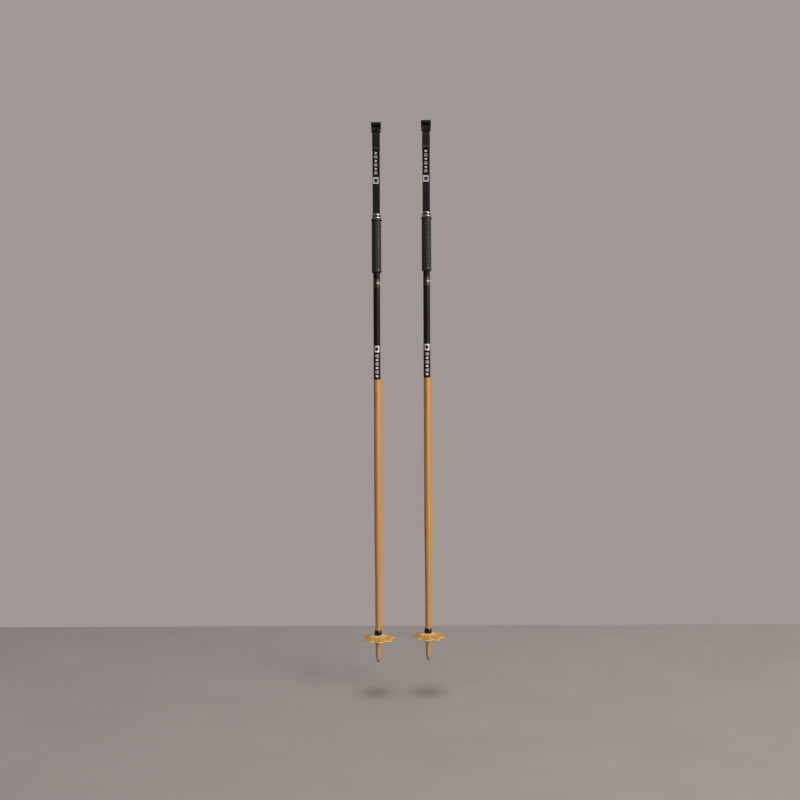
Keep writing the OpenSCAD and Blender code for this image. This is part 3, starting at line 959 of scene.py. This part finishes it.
def grip(place):
    """Rubber sleeve: a lattice of long diamond pads between two rounded flanges."""
    top, bottom = place.high("grip_sleeve").z, place.low("grip_sleeve").z
    length = top - bottom
    # Every other row is turned by half a column, so the mesh's edges follow the diamond grooves
    columns = PADS_ROUND * PAD_COLUMNS
    row_h = PAD_H / PAD_ROWS
    bead_rows = 10
    entry = math.asin((SLEEVE_INNER_R - FLANGE_TOP_R + BEAD_TOP_R) / BEAD_TOP_R)
    leave = math.asin((SLEEVE_INNER_R - FLANGE_END_R + BEAD_END_R) / BEAD_END_R)
    turns = [mix(entry, math.pi / 2, k / bead_rows) for k in range(bead_rows + 1)]
    depths = [BEAD_TOP_R * (1 - math.cos(a)) for a in turns]
    rows = int((length - BEAD_TOP_R - BEAD_END_R) / row_h)
    # The first full row starts on a groove crossing
    first = math.ceil(BEAD_TOP_R / row_h / 2) * 2
    depths += [row_h * k for k in range(first, first + rows)]
    turns = [mix(math.pi / 2, leave, k / bead_rows) for k in range(bead_rows + 1)]
    depths += [length - BEAD_END_R * (1 - math.cos(a)) for a in turns]

    points, worn = [], []

    def add_point(r, i, j, depth, pad_wear_groove_shade):
        a = 2 * math.pi * (j + lattice_shift(i)) / columns
        points.append((place.x + r * math.sin(a), -r * math.cos(a), top - depth))
        worn.append(pad_wear_groove_shade)

    # How grey the plain rubber is, between 0 in a groove, where it is painted shade, and 1 on a worn pad's
    # crown
    plain = 0.35
    for i, depth in enumerate(depths):
        on_bead = depth < BEAD_TOP_R * 0.98 or depth > length - BEAD_END_R * 0.98
        for j in range(columns):
            turn = (j + lattice_shift(i)) / columns
            r = beads(depth, length) if on_bead else lattice_radius(depth, turn, length)
            on_pads = not on_bead and r < GRIP_R + 0.3
            add_point(r, i, j, depth, step(GRIP_R - 0.6, GRIP_R + 0.2, r) if on_pads else plain)
    for i, depth in enumerate((length - 0.9, length / 2, 0.9), len(depths)):
        for j in range(columns):
            add_point(SLEEVE_INNER_R, i, j, depth, 0.0)
    made = mesh_object(place.name("grip"), points, lattice_faces(len(depths) + 3, columns))
    add_points(made, "pad_wear_groove_shade", worn)
    smooth(made, 60)
    give(place, made, "pole", "grip_rubber", "grip_rubber", "grip_sleeve")


# ---- Shaft ----

def film(place):
    """The black film, with plain figures, a badge and a size mark printed on it, and a scale below."""
    radius = (place.high("shaft_wrap").x - place.low("shaft_wrap").x) / 2
    shaft_r = (place.high("shaft").x - place.low("shaft").x) / 2
    film_end = place.low("shaft_wrap").z
    # The film runs on a little way into the sleeve, so that no gold shows at the grip's end
    film_top = place.high("shaft_wrap").z + 1.4
    profile = [(shaft_r, film_end), (radius, film_end + 0.05), (radius, film_top), (shaft_r, film_top)]
    skin = lathe(place.name("film"), profile, place.x)
    give(place, skin, "pole", "shaft_film", "shaft_film", "shaft_wrap")

    def on_film(u, z, lift):
        return place.on_shaft(radius, u, z, lift - PRINT_SINK)

    def on_gold(u, z, lift):
        return place.on_shaft(shaft_r, u, z, lift - PRINT_SINK)

    badge_z, size_z = film_end + 81.6, film_end + 258.5
    figures = figure_column(film_end + 9.3, 10.8, 9.6)
    white = rounded(rectangle(0, badge_z, BADGE_W, 17.6), 2.2)
    ticks = [rectangle(-2.5, film_end - 33 - 3.2 * k, 4.0 if k % 5 == 0 else 2.4, 1.1) for k in range(15)]
    patch = rounded(rectangle(0, size_z - 1, 18, 23), 2.0)
    blocks = [rounded(rectangle(u, size_z, 3.4, 5.0), 0.7) for u in (1.9, 6.3, 10.7)]
    for name, outlines, thickness, mapping, finish in (
            ("shaft_marks", figures, 0.09, on_film, "print_white"),
            ("shaft_badge", [white], 0.09, on_film, "print_white"),
            ("shaft_badge_centre", [polygon(0, badge_z, 5.4, 6, 30)], 0.15, on_film, "print_dark"),
            ("shaft_scale", ticks, 0.08, on_gold, "print_umber"),
            ("size_patch", [patch], 0.05, on_film, "print_brown"),
            ("size_mark", blocks, 0.14, on_film, "print_gold")):
        printed = raised(place.name(name), outlines, thickness, mapping)
        give(place, printed, "pole", finish, "shaft_gold" if mapping == on_gold else "shaft_film")


# ---- Basket ----

def collar(place):
    top, bottom = place.high("basket_collar").z, place.low("basket_collar").z
    profile = rounded([
        (COLLAR_BORE_R, top), (8.3, top), (8.9, top - 1.6), (9.9, bottom + 7.2), (10.25, bottom + 4.2),
        (9.9, bottom + 1.4), (8.6, bottom), (COLLAR_BORE_R, bottom),
    ], 1.3)
    made = lathe(place.name("collar"), profile, place.x)
    give(place, made, "pole", "collar_plastic", "collar_plastic", "basket_collar")


def petal_edge(columns):
    """The basket's outline as flat points, softened where the petals meet."""
    centre = BASKET_R - PETAL_R
    radii = []
    for j in range(columns):
        share = (j * PETALS / columns + 0.5) % 1 - 0.5
        a = share * 2 * math.pi / PETALS
        reach = PETAL_R ** 2 - (centre * math.sin(a)) ** 2
        radii.append(max(centre * math.cos(a) + math.sqrt(reach) if reach > 0 else 0, NOTCH_R))
    for _ in range(10):
        radii = [(radii[j - 1] + 2 * radii[j] + radii[(j + 1) % columns]) / 4 for j in range(columns)]
    # The softening pulls the petals' ends in a little, so the outline is brought back to size
    grow = BASKET_R / max(radii)
    return [Vector((r * grow, 0)) @ Matrix.Rotation(-2 * math.pi * j / columns, 2)
            for j, r in enumerate(radii)]


def basket_height(point):
    """Height of the basket's upper face over a flat point, below the top of its hub."""
    out = point.length
    share = (math.atan2(point.y, point.x) * PETALS / (2 * math.pi) + 0.5) % 1 - 0.5
    t = max(out - HUB_R, 0) / (BASKET_R - HUB_R)
    z = -1.2 - 9.0 * (0.45 * t + 0.55 * t * t)
    # The petals are crowned, and a spoke runs out to each notch
    z -= 2.2 * (2 * share) ** 2 * step(0.1, 0.9, t)
    spoke = out * math.sin((0.5 - abs(share)) * 2 * math.pi / PETALS)
    z += 0.9 * bump(spoke, 1.5) * step(0.0, 0.15, t)
    hole = (point.length - BASKET_R + PETAL_R - 1) ** 2 + (out * math.sin(share * 2 * math.pi / PETALS)) ** 2
    return z + 0.45 * bump(math.sqrt(hole) - PETAL_HOLE_R - 0.7, 0.9)


def basket_rows(edge, hub_end):
    """Rings of points: over the hub, out along the top, around the rim, back under and down the hub."""
    columns = len(edge)
    inward = []
    for j in range(columns):
        along = (edge[(j + 1) % columns] - edge[j - 1]).normalized()
        inward.append(Vector((-along.y, along.x)))
    rows = []

    def rings(sizes):
        for radius, z in sizes:
            rows.append([Vector((*(p.normalized() * radius), z)) for p in edge])

    def face(depth, shares):
        """Rows over the petals, at a depth given at the hub (share 0) and at the rim (share 1)."""
        for share in shares:
            row = []
            for p, n in zip(edge, inward):
                flat = mix(p.normalized() * HUB_R, p + n * RIM_INSET, share)
                row.append(Vector((*flat, basket_height(flat) - mix(*depth, share))))
            rows.append(row)

    def rim(depth, profile):
        """The rim's bead, as (inset, lift) points around its section."""
        for inset, lift in profile:
            rows.append([
                Vector((*(p + n * inset), basket_height(p + n * RIM_INSET) + lift - depth[1]))
                for p, n in zip(edge, inward)])

    steps = 34
    upper, under = (0.0, 0.0), BASKET_T
    outward = [k / steps for k in range(steps + 1)]
    rings([(HUB_BORE_R, -0.5), (HUB_R - 1.4, -0.5), (HUB_R - 0.4, -0.75)])
    face(upper, outward)
    rim(upper, [(1.9, 0.22), (1.4, 0.4), (0.9, 0.36), (0.45, 0.12), (0.12, -0.3), (0.0, -0.8)])
    rim(under, [(0.0, 0.2), (0.12, -0.35), (0.5, -0.6), (1.1, -0.62), (1.8, -0.35)])
    face(under, reversed(outward))
    rings([(9.6, -5.2), (8.6, -6.4), (HUB_SLEEVE_R, -8.2)])
    # Down the hub's sleeve, with a small rib above its end
    rings([(HUB_SLEEVE_R + grow, hub_end + up) for grow, up in (
        (-0.1, 9.2), (0.25, 8.8), (0.25, 7.6), (-0.15, 7.2), (-0.35, 0.6), (-0.9, 0.0))])
    rings([(HUB_BORE_R, hub_end)])
    return rows


def basket(place):
    columns = PETALS * 60
    hub_top = place.high("basket").z + 0.5
    edge = petal_edge(columns)
    rows = basket_rows(edge, place.low("basket").z - hub_top)
    points = [point for row in rows for point in row]
    mesh = mesh_data("shape", points, grid_faces(len(rows), columns))
    made = finish_bmesh(place.name("powder_basket"), filled_bmesh(mesh), 60)

    hole_out = BASKET_R - PETAL_R + 1
    drills = []
    for k in range(PETALS):
        a = 2 * math.pi * k / PETALS
        centre = (hole_out * math.cos(a), hole_out * math.sin(a))
        drills.append(plate(place.name("drill"), arc(centre, PETAL_HOLE_R, 0, 360, 32)[:-1], [],
                            30, 0.01, Matrix.Identity(4), (0, 0, -8)))
    cut_away(made, join(place.name("drills"), drills))

    # How pale the plastic is: most along the rim, partly for the thinner plastic and partly as a painted
    # highlight, and around the hub on the upper side, as painted light from above
    thin_rim_and_painted_light = []
    for vert in made.data.vertices:
        flat = Vector(vert.co[:2]) / MM
        j = round(math.atan2(flat.y, flat.x) / (2 * math.pi) * columns) % columns
        inset = edge[j].length - flat.length
        # Only the upper side near the hub is paled: painted light where it faces up
        hub = 0.85 * bump(flat.length - 11, 15.0) if vert.co.z > -6 * MM else 0.0
        thin_rim_and_painted_light.append(max(0.6 * bump(max(inset, 0), 3.0), hub))
    add_points(made, "rim", thin_rim_and_painted_light)
    turn = Matrix.Rotation(math.radians(PETAL_TURN[place.side] - 90), 4, "Z")
    made.data.transform(Matrix.Translation(Vector((place.x, 0, hub_top)) * MM) @ turn)
    give(place, made, "pole", "basket_plastic", "basket_plastic", "basket")


# ---- Both poles ----

for side in SIDES:
    place = Place(side)
    for node, finish in KEPT_NODES.items():
        part = frame["nodes"][f"{side}_{node}"]
        part.data.materials.clear()
        part.data.materials.append(FINISHES[finish])
    for build in (webbing, lining, label, buckle_case, buckle_panel, cam_lever, buckle_rivet, cap, grip,
                  film, collar, basket):
        build(place)


# ---- Studio ----

FLOOR_Z = -1.5
FLOOR_BACK, FLOOR_FRONT, FLOOR_SIDE = 0.69, -3.0, 3.0
WALL_COLOUR = "#a19896"
# How strongly the wall's grey lights the poles from the camera's side and from behind, and the
# directions (the Y of a unit vector) between which that changes
AMBIENT_FRONT, AMBIENT_BACK = 0.38, 1.0
FRONT_Y, BACK_Y = -0.7, 0.5
# The camera's place in metres, its lens in millimetres and its roll in degrees
CAMERA_AT, CAMERA_LENS, CAMERA_ROLL = (0.0613, -2.236, -0.708), 37.5, 0.25


def studio_floor():
    bm = bmesh.new()
    corners = [(-FLOOR_SIDE, FLOOR_FRONT), (FLOOR_SIDE, FLOOR_FRONT),
               (FLOOR_SIDE, FLOOR_BACK), (-FLOOR_SIDE, FLOOR_BACK)]
    bm.faces.new([bm.verts.new((x, y, FLOOR_Z)) for x, y in corners])
    made = finish_bmesh("floor", bm)
    finish = Finish("floor", "#9d9795", 0.85, Specular_IOR_Level=0.2)
    finish.colour(finish.shade(finish.noise(160.0, 5.0), "#989290", "#a29c9a"))
    made.data.materials.append(finish.material)


def soft_light(name, azimuth, elevation, distance, size, watts, colour):
    """A large soft light that looks at the middle of the poles."""
    lamp = bpy.data.lights.new(name, "AREA")
    lamp.shape = "DISK"
    lamp.size = size
    lamp.energy = watts
    lamp.color = colour
    made = link(name, lamp)
    target = (cad_box[0] + cad_box[1]) / 2
    a, e = math.radians(azimuth), math.radians(elevation)
    away = Vector((math.sin(a) * math.cos(e), -math.cos(a) * math.cos(e), math.sin(e)))
    made.location = target + away * distance
    made.rotation_mode = "QUATERNION"
    made.rotation_quaternion = away.to_track_quat("Z", "Y")


def studio_world():
    world = bpy.data.worlds.new("studio")
    world.use_nodes = True
    tree = world.node_tree
    background = tree.nodes["Background"]
    background.inputs["Color"].default_value = linear(WALL_COLOUR)
    direction = add_node(tree, "TexCoord", {}).outputs["Generated"]
    facing = add_node(tree, "SeparateXYZ", {"Vector": direction}).outputs["Y"]
    ambient = add_node(tree, "MapRange", {
        "Value": facing, "From Min": FRONT_Y, "From Max": BACK_Y,
        "To Min": AMBIENT_FRONT, "To Max": AMBIENT_BACK}).outputs[0]
    # Behind the poles the wall's grey always shows at full strength
    seen = add_node(tree, "LightPath", {}).outputs["Is Camera Ray"]
    strength = add_node(tree, "MapRange", {"Value": seen, "To Min": ambient}).outputs[0]
    tree.links.new(strength, background.inputs["Strength"])
    bpy.context.scene.world = world


def studio_camera():
    """The photograph's view: level with the middle of the shafts, rolled by a quarter of a degree."""
    lens = bpy.data.cameras.new("camera")
    lens.lens = CAMERA_LENS
    lens.sensor_width = 36
    made = link("camera", lens)
    roll = Matrix.Rotation(math.radians(CAMERA_ROLL), 4, "Y")
    level = Matrix.Rotation(math.pi / 2, 4, "X")
    made.matrix_world = Matrix.Translation(CAMERA_AT) @ roll @ level
    bpy.context.scene.camera = made


studio_floor()
studio_world()
studio_camera()
soft_light("key", azimuth=50, elevation=16, distance=6.0, size=3.2, watts=330, colour=(1.0, 0.97, 0.94))
soft_light("overhead", azimuth=10, elevation=80, distance=4.0, size=2.4, watts=85, colour=(1.0, 0.98, 0.96))
bpy.context.scene.view_settings.view_transform = "Standard"
